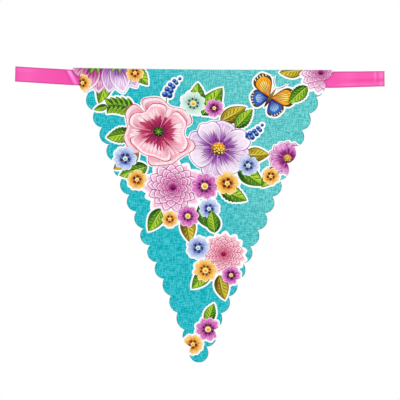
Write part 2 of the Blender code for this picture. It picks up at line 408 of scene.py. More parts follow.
def swell(t, widest, blunt):
    """How wide a petal, leaf or stroke is at t, from 0 at its base to 1 at its tip."""
    return math.sin(math.pi * t ** (math.log(0.5) / math.log(widest))) ** blunt if 0 < t < 1 else 0.0


def petal_form(widest=0.62, blunt=0.7, notch_depth=0.0, wave=0.0, phase=0.0, steps=14):
    """A petal from its base at 0 to its tip at 1, one unit wide each way."""
    shares = [(1 - math.cos(math.pi * i / steps)) / 2 for i in range(steps + 1)]
    sides = []
    for side in (-1, 1):
        for t in shares[:-1] if side < 0 else shares[:0:-1]:
            across = side * swell(t, widest, blunt)
            up = t - notch_depth * math.exp(-((across / 0.38) ** 2)) * t**6
            up += wave * math.sin(5.5 * across + phase) * t**3
            sides.append((across, up))
    return sides


def leaf_form(side=0, steps=12, teeth=0.0):
    """A pointed leaf, or one half of it where side is -1 or 1. teeth is how deep its edge is cut."""
    shares = [i / steps for i in range(steps + 1)]
    edge = [(swell(t, 0.42, 0.85) * (1 - teeth * (i % 2)), t) for i, t in enumerate(shares)]
    if side:
        return [(side * a, t) for a, t in edge] + [(0.0, 0.5)]
    return [(-a, t) for a, t in edge] + edge[-2:0:-1]


def disc_form(steps):
    return [(math.sin(a), 0.5 - 0.5 * math.cos(a)) for a in circle(steps)]


def stroke_form(start, end, width, bend=0.0, steps=5):
    """A thin brush stroke between two points of a shape's unit space."""
    (x0, y0), (x1, y1) = start, end
    length = math.hypot(x1 - x0, y1 - y0)
    nx, ny = -(y1 - y0) / length, (x1 - x0) / length
    left, right = [], []
    for i in range(steps + 1):
        t = i / steps
        off = bend * math.sin(math.pi * t)
        half = width * swell(t, 0.5, 0.8)
        x, y = x0 + (x1 - x0) * t, y0 + (y1 - y0) * t
        left.append((x + nx * (off + half), y + ny * (off + half)))
        right.append((x + nx * (off - half), y + ny * (off - half)))
    return left + right[-2:0:-1]


def blend(a, b, share):
    return tuple(x + (y - x) * share for x, y in zip(a, b))


def dot(art, place, x, y, size, deep, pale, halo=0.0, steps=10):
    there = place @ shift(x, y) @ stretch(size, 2 * size) @ shift(0, -0.5)
    art.lay(disc_form(steps), there, deep, pale, halo)


def dot_round(art, place, angle, reach, size, deep, pale, steps=6):
    """A dot at an angle and a distance from a flower's middle."""
    dot(art, place, reach * math.sin(angle), reach * math.cos(angle), size, deep, pale, steps=steps)


def petal(art, place, half, length, colours, form, strokes, shade=0.0, body=0.55, shadow=0.0, halo=HALO):
    """A petal: a shadow line, a pale rim, the body, and brush strokes out of its base and into its rim."""
    rnd = art.rnd
    deep, middle, pale = (blend(c, colours[0], shade) for c in colours)
    middle = blend(middle, rnd.choice((deep, pale)), rnd.uniform(0, 0.22))
    outline = petal_form(**form)
    whole = place @ stretch(half, length)
    if shadow:
        under = place @ stretch(half + shadow, length + 0.8 * shadow)
        art.lay(outline, under, blend(deep, PLUM[0], 0.35), blend(deep, middle, 0.25))
    art.lay(outline, whole, middle, blend(pale, WHITE, 0.6), halo)
    within = place @ shift(0, 0.02 * length) @ stretch(half * 0.87, length * 0.9)
    art.lay(outline, within, deep, blend(middle, pale, body))
    for i in range(strokes):
        side = 0.66 * (2 * (i + 0.5) / strokes - 1) + rnd.uniform(-0.06, 0.06)
        end = (side, rnd.uniform(0.48, 0.72))
        colour = blend(deep, PLUM[0], rnd.uniform(0, 0.35))
        stroke = stroke_form((side * 0.3, 0.1), end, rnd.uniform(0.03, 0.07), 0.06 * side)
        art.lay(stroke, whole, colour, blend(colour, middle, 0.55))
        side += 0.45 / strokes
        end = (side * 0.95, rnd.uniform(0.8, 0.9) - 0.14 * side * side)
        colour = blend(pale, WHITE, rnd.uniform(0.3, 0.9))
        start = (side * 0.72, rnd.uniform(0.42, 0.58))
        stroke = stroke_form(start, end, rnd.uniform(0.025, 0.055), 0.03 * side)
        art.lay(stroke, whole, blend(colour, middle, 0.5), colour)


def heart(art, place, size, dots, ring, core=YELLOW):
    """A flower's middle, with dots round it."""
    for angle in circle(dots, 0.3):
        dot_round(art, place, angle, ring, 0.3 * size, INK, blend(INK, core[0], 0.25), 7)
    dot(art, place, 0, 0, 0.78 * size, blend(core[2], WHITE, 0.4), core[2])
    dot(art, place, 0.05 * size, -0.04 * size, 0.5 * size, core[0], core[1], steps=8)


def cosmos(art, x, y, radius, colours, lean):
    """A wide flower of notched petals round a yellow middle."""
    place = standing(x, y, lean, 0.9)
    petals = 8
    half, line = radius * 2.75 / petals, 0.024 * radius
    for rank, angle in enumerate(every_other(circle(petals))):
        angle += art.rnd.uniform(-0.06, 0.06)
        length = radius * art.rnd.uniform(0.94, 1.04)
        form = dict(widest=0.66, blunt=0.6, notch_depth=0.1, wave=0.035, phase=art.rnd.uniform(0, 6))
        shade = 0.2 if rank < petals / 2 else 0.0
        petal(art, place @ turn(angle), half, length, colours, form, 7, shade, 0.85, line)
    for angle in circle(22):
        dot_round(art, place, angle, radius * art.rnd.uniform(0.22, 0.31), radius * 0.026, INK, PLUM[1])
    dot(art, place, 0, 0, radius * 0.21, OLIVE[0], YELLOW[0], steps=14)
    for i in range(15):
        dot_round(art, place, 2.4 * i, radius * 0.045 * math.sqrt(i), radius * 0.03, YELLOW[1], YELLOW[2])


def dahlia(art, x, y, radius, colours, lean):
    """A full bloom of pointed petals in rings, darker towards its middle."""
    place = standing(x, y, lean, 0.94)
    form = dict(widest=0.7, blunt=0.85, steps=11)
    rings = [(1.0, 15, 0.0), (0.84, 14, 0.06), (0.68, 12, 0.16)]
    inner_rings = [(0.52, 10, 0.3), (0.37, 8, 0.48), (0.23, 6, 0.66)]
    for number, (reach, count, shade) in enumerate(rings + inner_rings):
        half = math.pi * radius * reach / count * 0.86
        line, halo = (0.026 * radius, 0.0) if number else (0.0, HALO)
        for angle in circle(count, 0.5 * (number % 2)):
            angle += art.rnd.uniform(-0.05, 0.05)
            length = radius * reach * art.rnd.uniform(0.95, 1.05)
            petal(art, place @ turn(angle), half, length, colours, form, 2, shade, 0.75, line, halo)
    dot(art, place, 0, 0, radius * 0.1, PLUM[0], colours[0], steps=8)


def poppy(art, x, y, radius, colours, lean):
    """A bowl of six broad, ruffled petals with a dark middle."""
    place = standing(x, y, lean, 0.88)
    for reach, start, shade in ((1.0, 0.0, 0.1), (0.82, 0.5, 0.0)):
        for angle in circle(3, start):
            angle += art.rnd.uniform(-0.1, 0.1)
            form = dict(widest=0.7, blunt=0.5, wave=0.05, phase=art.rnd.uniform(0, 6), steps=22)
            form["notch_depth"] = art.rnd.uniform(0.02, 0.1)
            length = radius * reach * art.rnd.uniform(0.96, 1.04)
            half, line = radius * reach * 0.74, 0.026 * radius
            petal(art, place @ turn(angle), half, length, colours, form, 14, shade, 0.85, line)
    for i, angle in enumerate(circle(26)):
        reach = radius * (0.2 + 0.06 * (i % 2))
        art.lay(stroke_form((0, 0), (0, reach), radius * 0.009), place @ turn(angle), INK, PLUM[0])
        dot_round(art, place, angle, reach, radius * 0.024, INK, PLUM[1])
    dot(art, place, 0, 0, radius * 0.15, INK, GREEN[0], steps=14)
    for angle in circle(7):
        ray = stroke_form((0, 0), (0, radius * 0.13), radius * 0.016)
        art.lay(ray, place @ turn(angle), GREEN[2], GREEN[1])


def daisy(art, x, y, radius, colours, lean, petals=9):
    """A small flower of narrow petals."""
    place = standing(x, y, lean, 0.94)
    form = dict(widest=0.68, blunt=0.75, steps=11)
    for angle in every_other(circle(petals)):
        angle += art.rnd.uniform(-0.08, 0.08)
        petal(art, place @ turn(angle), radius * 2.5 / petals, radius, colours, form, 2, shadow=0.16)
    heart(art, place, radius * 0.3, 8, radius * 0.38)


def floret(art, x, y, radius, colours, lean, core=YELLOW):
    """A small flower of five round petals."""
    place = standing(x, y, lean)
    form = dict(blunt=0.52, notch_depth=0.13)
    petals = 5
    for angle in circle(petals):
        angle += art.rnd.uniform(-0.08, 0.08)
        petal(art, place @ turn(angle), radius * 2.15 / petals, radius, colours, form, 3, shadow=0.16)
    for angle in circle(petals):
        ray = stroke_form((0, 0.12), (0, 0.5), 0.09)
        art.lay(ray, place @ turn(angle) @ stretch(radius, radius), INK, colours[0])
    heart(art, place, radius * 0.24, petals, radius * 0.36, core)


def leaf(art, x, y, length, half, angle, colours=GREEN, teeth=0.0, veins=5):
    """A pointed leaf: a dark edge, a light and a dark side, brush marks between the veins, and a midrib."""
    deep, middle, pale = colours
    rnd = art.rnd
    place = standing(x, y, angle) @ stretch(half, length)
    within = place @ shift(0.0, 0.03) @ stretch(0.86, 0.94)
    form = dict(steps=17 if teeth else 12, teeth=teeth)
    art.lay(leaf_form(**form), place, deep, blend(deep, middle, 0.5), HALO)
    art.lay(leaf_form(1, **form), within, deep, blend(deep, middle, 0.7))
    art.lay(leaf_form(-1, **form), within, middle, blend(middle, pale, 0.6))
    for i in range(veins):
        low = 0.12 + 0.68 * i / veins
        wide = math.sin(math.pi * (low + 0.12)) ** 0.8
        for side, colour in ((-1, pale), (1, blend(middle, pale, 0.25))):
            end = (side * rnd.uniform(0.56, 0.68) * wide, low + rnd.uniform(0.14, 0.2))
            mark = stroke_form((side * 0.08, low), end, rnd.uniform(0.045, 0.075), -0.03)
            art.lay(mark, place, blend(colour, middle, 0.3), colour)
            vein = stroke_form((side * 0.06, low - 0.03), (side * 0.6 * wide, low + 0.11), 0.018)
            art.lay(vein, place, deep, blend(deep, INK, 0.3))
    midrib = stroke_form((0, 0), (0, 0.96), 0.075)
    art.lay(midrib, place, blend(pale, WHITE, 0.25), blend(pale, middle, 0.3))


def stem(art, start, middle, end, count):
    """A curved stem that thins towards its end. Gives back the points of its middle line."""
    t = np.linspace(0, 1, count)[:, None]
    points = (1 - t) ** 2 * np.array(start) + 2 * t * (1 - t) * np.array(middle) + t * t * np.array(end)
    ahead = unit(np.r_[points[1:], points[-1:]] - np.r_[points[:1], points[:-1]])
    side = np.c_[-ahead[:, 1], ahead[:, 0]] * STEM_HALF * (1 - 0.55 * t)
    art.lay(np.r_[points + side, (points - side)[::-1]], np.eye(3), GREEN[1], GREEN[1], HALO)
    return points


def sprig(art, start, middle, end, leaflets, size):
    """A curved stem with pairs of small leaves, and one at its end."""
    points = stem(art, start, middle, end, leaflets + 3)
    for i in range(2, leaflets + 3):
        (x0, y0), (x, y) = points[i - 1 : i + 1]
        heading = math.atan2(x - x0, y - y0)
        if i == leaflets + 2:
            leaf(art, x0, y0, size * 1.1, size * 0.26, heading, veins=1)
            break
        for side in (-1, 1):
            leaf(art, x0, y0, size * (1 - 0.04 * i), size * 0.24, heading + side * 0.85, veins=1)


def bud_spike(art, start, middle, end):
    """A stem with round blue buds crowded towards its end."""
    points = stem(art, start, middle, end, 12)
    for i in range(3, 12, 2):
        (x0, y0), (x, y) = points[i - 1 : i + 1]
        heading = math.atan2(x - x0, y - y0)
        for side in (-1, 1) if i < 11 else (0,):
            off = side * BUD * 0.95 * (1 - 0.05 * i)
            bx, by = x + off * math.cos(heading), y - off * math.sin(heading)
            size = BUD * (1.1 - 0.05 * i)
            dot(art, np.eye(3), bx, by, size, BLUE[0], BLUE[1], HALO, 14)
            dot(art, np.eye(3), bx - 0.2 * size, by + 0.25 * size, 0.42 * size, BLUE[1], BLUE[2], steps=7)


def tulip(art, x, y, length, angle, colours):
    """A closed bud of three petals on a short green cup."""
    place = standing(x, y, angle)
    form = dict(widest=0.5, blunt=0.8)
    for side in (-1, 1):
        tilted = place @ shift(side * 0.13 * length, 0) @ turn(side * 0.3)
        petal(art, tilted, 0.27 * length, 0.95 * length, colours, form, 4, 0.25, shadow=0.3)
    petal(art, place, 0.3 * length, length, colours, form, 6, shadow=0.3)
    for side in (-1, 0, 1):
        leaf(art, x, y, 0.42 * length, 0.1 * length, angle + side * 0.6, veins=0)


def butterfly(art, x, y, size, angle):
    """Four wings in amber and blue, with a dark margin and pale dots."""
    place = standing(x, y, angle)
    outline = petal_form(widest=0.68, blunt=0.6, wave=0.02, steps=16)
    for side in (-1, 1):
        for spread, reach, half, colours in ((2.15, 0.74, 0.34, BLUE), (0.98, 1.0, 0.36, AMBER)):
            wing = place @ turn(side * spread)
            whole = wing @ stretch(size * half, size * reach)
            art.lay(outline, whole, PLUM[0], OLIVE[0], HALO)
            for rank, (low, across, along) in enumerate(((0.03, 0.8, 0.84), (0.1, 0.5, 0.6))):
                layer = wing @ shift(0, low * size) @ stretch(size * half * across, size * reach * along)
                art.lay(outline, layer, colours[rank], colours[rank + 1])
            for a in (-0.6, -0.3, 0.0, 0.3, 0.6):
                vein = stroke_form((a * 0.15, 0.12), (a, 0.86 - 0.1 * abs(a)), 0.025)
                art.lay(vein, whole, PLUM[0], OLIVE[0])
            for a in (-0.62, -0.31, 0.0, 0.31, 0.62):
                dot(art, whole, a, 0.92 - 0.16 * a * a, 0.055, WHITE, YELLOW[2], steps=6)
    body = place @ shift(0, -0.42 * size) @ stretch(0.065 * size, 0.9 * size)
    art.lay(leaf_form(), body, PLUM[0], OLIVE[1], HALO)
    for side in (-1, 1):
        end = (side * 0.3 * size, 0.85 * size)
        feeler = stroke_form((0, 0.42 * size), end, 0.014 * size, -side * 0.06 * size, 6)
        art.lay(feeler, place, PLUM[0], PLUM[0], HALO * 0.6)


def draw_print(art):
    """The whole design. In each group what lies under comes first."""
    draw_large_group(art)
    draw_right_group(art)
    draw_lower_group(art)
    draw_edge_flowers(art)


def draw_large_group(art):
    """Three large blooms left of the middle, with small flowers, leaves and buds round them."""
    bud_spike(art, (-24, -24), (-24, -13), (-15, -7.5))
    bud_spike(art, (24, -48), (35, -46), (40, -38))
    sprig(art, (-44, -30), (-55, -23), (-66, -27), 5, 9.0)
    leaf(art, -4, -30, 20, 6.2, 0.05, teeth=TEETH)
    leaf(art, 0, -32, 23, 6.4, 0.62)
    leaf(art, 12, -36, 20, 5.4, 1.05, OLIVE)
    leaf(art, 22, -40, 17, 5.0, 0.75, teeth=TEETH)
    leaf(art, -46, -44, 18, 5.6, -1.75, teeth=TEETH)
    leaf(art, -42, -56, 21, 5.6, -2.2, OLIVE)
    leaf(art, -36, -66, 20, 5.4, -1.9)
    leaf(art, 24, -66, 21, 6.2, 2.2)
    leaf(art, 28, -58, 17, 5.0, 1.55, OLIVE)
    leaf(art, 12, -80, 20, 5.8, 2.0, teeth=TEETH)
    leaf(art, -2, -92, 20, 6.0, 2.5)
    leaf(art, -10, -98, 19, 5.2, 3.0, OLIVE)
    leaf(art, -26, -94, 18, 5.2, -2.6)
    cosmos(art, 11, -54, 22.5, LILAC, 0.3)
    dahlia(art, -19, -80, 20.0, ROSE, 0.1)
    poppy(art, -29, -43, 24.0, CORAL, 0.5)
    floret(art, -51, -61, 8.4, PERIWINKLE, 0.5, MINT)
    daisy(art, 2, -79, 9.8, MAGENTA, 0.2)
    floret(art, 17, -77, 8.4, AMBER, 0.1)
    daisy(art, -6, -24, 8.6, MINT, 0.4, 8)
    floret(art, 8, -27, 6.6, MAGENTA, 0.9)
    floret(art, -43, -75, 7.0, AMBER, 0.1)
    floret(art, 31, -65, 7.4, PERIWINKLE, 0.9, MINT)
    daisy(art, -9, -99, 7.8, MAGENTA, 0.6, 8)
    floret(art, 5, -94, 7.2, PERIWINKLE, 0.3, MINT)
    floret(art, -21, -101, 5.8, AMBER, 0.6)


def draw_right_group(art):
    """The butterfly, and below it a flower that the right edge cuts."""
    butterfly(art, 45, -20, 17.5, 0.55)
    leaf(art, 50, -66, 17, 5.0, -2.5)
    cosmos(art, 57, -60, 13.5, MAGENTA, 0.2)
    floret(art, 46, -72, 6.2, AMBER, 0.6)


def draw_lower_group(art):
    """One large bloom over small flowers."""
    leaf(art, 9, -110, 15, 4.8, -0.15)
    leaf(art, 6, -134, 18, 5.0, -2.4)
    leaf(art, 12, -138, 17, 4.8, 2.9, OLIVE)
    dahlia(art, 15, -124, 15.0, CORAL, 0.1)
    floret(art, -2, -120, 8.0, PERIWINKLE, 0.3, MINT)
    daisy(art, 3, -135, 8.2, AMBER, 0.3)
    floret(art, 20, -138, 6.8, MAGENTA, 0.4)


def draw_edge_flowers(art):
    """Flowers that the corners, the fold and the tip cut."""
    leaf(art, 70, -12, 17, 5.0, -2.3, teeth=TEETH)
    leaf(art, 67, -1, 16, 4.8, -1.7, OLIVE)
    dahlia(art, 79, -3, 15.5, ROSE, 0.4)
    leaf(art, -62, -5, 21, 5.4, -2.8)
    leaf(art, -47, 1, 17, 5.0, 2.45, teeth=TEETH)
    tulip(art, -72, 4, 22, -2.85, ROSE)
    tulip(art, -57, 5, 23, 2.95, LILAC)
    floret(art, -80, -11, 6.2, AMBER, 0.2)
    floret(art, -45, -4, 6.4, AMBER, 0.5)
    leaf(art, 4, -170, 14, 4.2, 0.35, teeth=TEETH)
    daisy(art, 5, -174, 8.6, MAGENTA, 0.2)
    floret(art, -5, -184, 7.0, AMBER, 0.5)


# From flat shapes to printed cloth


def inside(points, outline):
    """Which points an outline winds round. They are tested a block at a time, to spare memory."""
    x0, y0 = outline[:, 0], outline[:, 1]
    x1, y1 = np.roll(x0, -1), np.roll(y0, -1)
    found = []
    for block in np.array_split(points, len(points) // BLOCK + 1):
        x, y = block[:, 0:1], block[:, 1:2]
        left = (x1 - x0) * (y - y0) - (x - x0) * (y1 - y0)
        up = (y0 <= y) & (y1 > y) & (left > 0)
        down = (y0 > y) & (y1 <= y) & (left < 0)
        found.append((up.sum(axis=1) - down.sum(axis=1)) != 0)
    return np.concatenate(found)


def triangles_of(outlines, extra=(), lines=(), known=((), ()), with_origins=False):
    """Triangles whose edges follow every outline and line, with further points between them."""
    points, edges = [*known[0]], [*known[1]]
    for outline in outlines:
        first, count = len(points), len(outline)
        points += [*outline]
        edges += [(first + i, first + (i + 1) % count) for i in range(count)]
    for line in lines:
        first = len(points)
        points += line
        edges += [(i, i + 1) for i in range(first, len(points) - 1)]
    vectors = [Vector((float(x), float(y))) for x, y in [*points, *extra]]
    made = delaunay_2d_cdt(vectors, edges, [], 0, MERGE, with_origins)
    return np.array([(v.x, v.y) for v in made[0]]), np.array(made[2]), made[3]


def fold_lines(step):
    """Points across the cloth where it bends, so that the fold is smooth."""
    over = np.linspace(-FOLD.quarter, FOLD.quarter, FOLD_ROWS)
    down = np.linspace(FOLD.quarter, FOLD.end, TURNED_ROWS)[1:-1]
    across = np.arange(-HALF_WIDTH - step, HALF_WIDTH + 2 * step, step)
    return [[(x, row) for x in across] for row in [*over, *down]]


def between_points(step):
    """A grid over the front, with every other row moved by half a step."""
    rows = np.arange(-DEPTH - step, -FOLD.quarter - step / 2, step)
    across = np.arange(-HALF_WIDTH, HALF_WIDTH, step)
    return [(x + step / 2 * (k % 2), row) for k, row in enumerate(rows) for x in across]


def sides(triangles):
    """The three sides of every triangle, as pairs of point numbers."""
    return np.concatenate([triangles[:, [0, 1]], triangles[:, [1, 2]], triangles[:, [2, 0]]])


def edge_loop(triangles):
    """The points of the cut edge in order, from triangles that all turn the same way."""
    seen = set(map(tuple, sides(triangles).tolist()))
    after = {a: b for a, b in seen if (b, a) not in seen}
    start = min(after)
    loop, at = [start], after[start]
    while at != start:
        loop.append(at)
        at = after[at]
    assert len(loop) == len(after), "the cut edge isn't one loop"
    return loop


def topmost(points, shapes):
    """For each point the last shape that covers it. The first shape covers them all."""
    order = np.argsort(points[:, 0])
    ranked = points[order]
    free = np.ones(len(points), dtype=bool)
    top = np.zeros(len(points), dtype=int)
    for number in range(len(shapes) - 1, 0, -1):
        outline = shapes[number]["outline"]
        low, high = outline.min(axis=0), outline.max(axis=0)
        first, last = np.searchsorted(ranked[:, 0], (low[0], high[0]))
        near = np.arange(first, last)
        near = near[free[first:last] & (ranked[first:last, 1] >= low[1]) & (ranked[first:last, 1] <= high[1])]
        if len(near):
            near = near[inside(ranked[near], outline)]
            free[near] = False
            top[order[near]] = number
    return top


def lines_that_show(flat, triangles, top):
    """The edges where one shape meets another, or the cloth ends, as points and pairs of their numbers."""
    pairs = np.sort(sides(triangles), axis=1)
    shown = np.tile(top, 3)
    order = np.lexsort((pairs[:, 1], pairs[:, 0]))
    pairs, shown = pairs[order], shown[order]
    alike = np.all(pairs[1:] == pairs[:-1], axis=1) & (shown[1:] == shown[:-1])
    kept = pairs[~(np.append(alike, False) | np.append(False, alike))]
    ends = {}
    for a, b in kept.tolist():
        ends.setdefault(a, set()).add(b)
        ends.setdefault(b, set()).add(a)
    for point in list(ends):
        if len(ends[point]) != 2:
            continue
        a, b = ends[point]
        run, step = flat[b] - flat[a], flat[point] - flat[a]
        if b not in ends[a] and abs(run[0] * step[1] - run[1] * step[0]) < STRAIGHT * math.hypot(*run):
            ends[a].remove(point)
            ends[b].remove(point)
            ends[a].add(b)
            ends[b].add(a)
            del ends[point]
    number = {point: i for i, point in enumerate(ends)}
    return flat[list(ends)], [(number[a], number[b]) for a in ends for b in ends[a] if a < b]


def on_the_cloth(flat, triangles, outline, shapes):
    """The triangles that lie within the cut, and the shape that shows on each."""
    centres = flat[triangles].mean(axis=1)
    kept = inside(centres, outline)
    return triangles[kept], topmost(centres[kept], shapes)


def only_used(flat, triangles):
    """The old numbers of the points that triangles use, those points, and the triangles in new numbers."""
    used, renumbered = np.unique(triangles, return_inverse=True)
    return used, flat[used], renumbered.reshape(-1, 3)


def cut_and_print():
    """The cloth's outer face as points and triangles, the shape that shows on each, and all shapes."""
    art = Painting()
    outline = np.array(flat_outline())
    sheet = shift(0, -DEPTH) @ stretch(HALF_WIDTH, DEPTH)
    within = grown(outline, -EDGE_LINE)
    # First a darker line just inside the cut edge, painted shade; then the ground, lighter towards the upper
    # right, partly print tint and partly painted sheen
    for edge, low, high in ((outline, GROUND_EDGE_PAINTED_SHADE, GROUND_EDGE_PAINTED_SHADE), (within, GROUND, GROUND_TINT_AND_SHEEN)):
        art.lay(moved(edge, np.linalg.inv(sheet)), sheet, low, high, ground=1.0)
    grounds = len(art.shapes)
    draw_print(art)
    shapes = art.shapes[:grounds] + art.halos + art.shapes[grounds:]

    flat, triangles, _ = triangles_of([s["outline"] for s in shapes])
    triangles, top = on_the_cloth(flat, triangles, outline, shapes)
    known = lines_that_show(flat, triangles, top)
    flat, triangles, _ = triangles_of([], between_points(PRINTED_STEP), fold_lines(PRINTED_FOLD_STEP), known)
    triangles, top = on_the_cloth(flat, triangles, outline, shapes)
    _, flat, triangles = only_used(flat, triangles)
    return flat, triangles, top, shapes


def inner_face(outline):
    """The cloth's plain inner face: the same cut edge, with far fewer triangles."""
    grid = np.array(between_points(INNER_STEP) + [p for line in fold_lines(INNER_STEP) for p in line])
    near = inside(grid, grown(outline, -GRID_MARGIN))
    flat, triangles, origins = triangles_of([outline], grid[near], with_origins=True)
    kept = inside(flat[triangles].mean(axis=1), outline)
    place = {source: number for number, sources in enumerate(origins) for source in sources}
    used, flat, triangles = only_used(flat, triangles[kept])
    return flat, triangles, np.searchsorted(used, [place[i] for i in range(len(outline))])


def make_pennant():
    """The folded cloth: its printed outer face, its plain inner face, and the cut between them."""
    flat, triangles, top, shapes = cut_and_print()
    loop = edge_loop(triangles)
    under, under_triangles, under_loop = inner_face(flat[loop])
    under_loop = under_loop + len(flat)
    rim = np.stack([np.roll(loop, -1), loop, under_loop, np.roll(under_loop, -1)], axis=1)
    groups = [triangles, under_triangles[:, ::-1] + len(flat), rim]
    places = np.concatenate([folded(flat, 0.0), folded(under, CLOTH)])
    mesh = bpy.data.meshes.new("pennant_cloth")
    mesh.from_pydata(places.tolist(), [], [face for group in groups for face in group.tolist()])
    mesh.validate()
    pennant = bpy.data.objects.new("pennant_cloth", mesh)
    bpy.context.scene.collection.objects.link(pennant)

    corners = np.zeros(len(mesh.loops), dtype=np.int32)
    mesh.loops.foreach_get("vertex_index", corners)
    at = np.concatenate([flat, under])[corners]
    mesh.uv_layers.new(name="cloth_flat").data.foreach_set("uv", (at * FLAT_SCALE).astype(np.float32).ravel())
    paint_corners(mesh, at, np.repeat(top, 3), shapes)
    for material in (printed_linen(), plain_back(), cut_edge()):
        mesh.materials.append(material)
    kinds = np.repeat([0, 1, 2], [len(group) for group in groups])
    mesh.polygons.foreach_set("material_index", kinds.astype(np.int32))
    smooth_by_angle(pennant, SMOOTH_CLOTH)
    a, b, c = flat[triangles].transpose(1, 0, 2)
    return pennant, np.abs(np.cross(b - a, c - a)).sum() / 2


def paint_corners(mesh, at, shown, shapes):
    """What the print's material reads. The printed corners come first, and the others need none of it."""
    keys = ("back", "seed", "ground", "inner", "outer")
    back, seed, ground, inner, outer = (np.array([s[key] for s in shapes])[shown] for key in keys)
    place = np.einsum("nij,nj->ni", back[:, :, :2], at[: len(shown)]) + back[:, :, 2]
    opaque = np.ones(len(shown))
    for name, kind, field, values in (
        ("paint_place", "FLOAT_VECTOR", "vector", np.c_[place, seed]),
        ("paint_ground", "FLOAT", "value", ground[:, None]),
        ("paint_inner", "FLOAT_COLOR", "color", np.c_[inner, opaque]),
        ("paint_outer", "FLOAT_COLOR", "color", np.c_[outer, opaque]),
    ):
        filled = np.zeros((len(at), values.shape[1]), dtype=np.float32)
        filled[: len(shown)] = values
        mesh.attributes.new(name, kind, "CORNER").data.foreach_set(field, filled.ravel())


def smooth_by_angle(obj, degrees):
    select_only(obj)
    bpy.ops.object.shade_smooth_by_angle(angle=math.radians(degrees))


def select_only(obj):
    bpy.ops.object.select_all(action="DESELECT")
    obj.select_set(True)
    bpy.context.view_layer.objects.active = obj


# The ribbon


def rise(x):
    slope = np.tan(np.where(x > 0, RISE_RIGHT, RISE_LEFT))
    beyond = np.maximum(0.0, np.abs(x) - NOTCH_HALF)
    return slope * (np.hypot(beyond, RISE_ROUNDING) - RISE_ROUNDING)


def twist(x):
    finish = np.where(x > 0, RIBBON_RIGHT, -RIBBON_LEFT) - FLAT_END
    share = np.clip((np.abs(x) - TWIST_START) / (finish - TWIST_START), 0, 1)
    return TWIST * share**2 * (3 - 2 * share)


def waves(x):
    """The satin's small waves: broad ones at both ends, and finer ones at the right end."""
    depth, length, start, growth = BROAD_WAVES
    broad = depth * np.sin(x / length) * np.clip((np.abs(x) - start) / growth, 0, 1)
    depth, length, start, growth = FINE_WAVES
    return broad + depth * np.sin((x - start) / length) * np.clip((x - start) / growth, 0, 1)


def make_ribbon():
    """A grid, run along the ribbon's bends and given the satin's thickness."""
    bpy.ops.object.select_all(action="DESELECT")
    bpy.ops.mesh.primitive_grid_add(x_subdivisions=RIBBON_COLUMNS, y_subdivisions=RIBBON_ROWS, size=1.0)
    ribbon = bpy.context.object
    ribbon.name = ribbon.data.name = "satin_ribbon"
    mesh = ribbon.data
    flat = np.array([vertex.co for vertex in mesh.vertices])
    x = RIBBON_LEFT + (flat[:, 0] + 0.5) * RIBBON_REACH
    up = flat[:, 1] * RIBBON_WIDTH * np.interp(x, *RIBBON_SPREAD)
    angle = twist(x)
    off = (x - CREASE_AT + CREASE_LEAN * up) / CREASE_HALF
    depth = bow(x) + up * np.sin(angle) - CREASE_HEIGHT * np.exp(-off * off) + waves(x)
    height = RIBBON_TOP - RIBBON_WIDTH / 2 + rise(x) + up * np.cos(angle)
    mesh.vertices.foreach_set("co", hung(x, depth, height).astype(np.float32).ravel())
    mesh.uv_layers[0].name = "ribbon_flat"
    # The grid faces up. Laid on edge like this, its outer face has to point to the viewer.
    mesh.update()
    if mesh.polygons[0].normal.y > 0:
        mesh.flip_normals()
    mesh.materials.append(pink_satin())
    select_only(ribbon)
    thickness = ribbon.modifiers.new("thickness", "SOLIDIFY")
    thickness.thickness = RIBBON_THICK * MM
    thickness.offset = 0.0
    thickness.use_even_offset = True
    bpy.ops.object.modifier_apply(modifier=thickness.name)
    smooth_by_angle(ribbon, SMOOTH_RIBBON)
    return ribbon


# Finishes


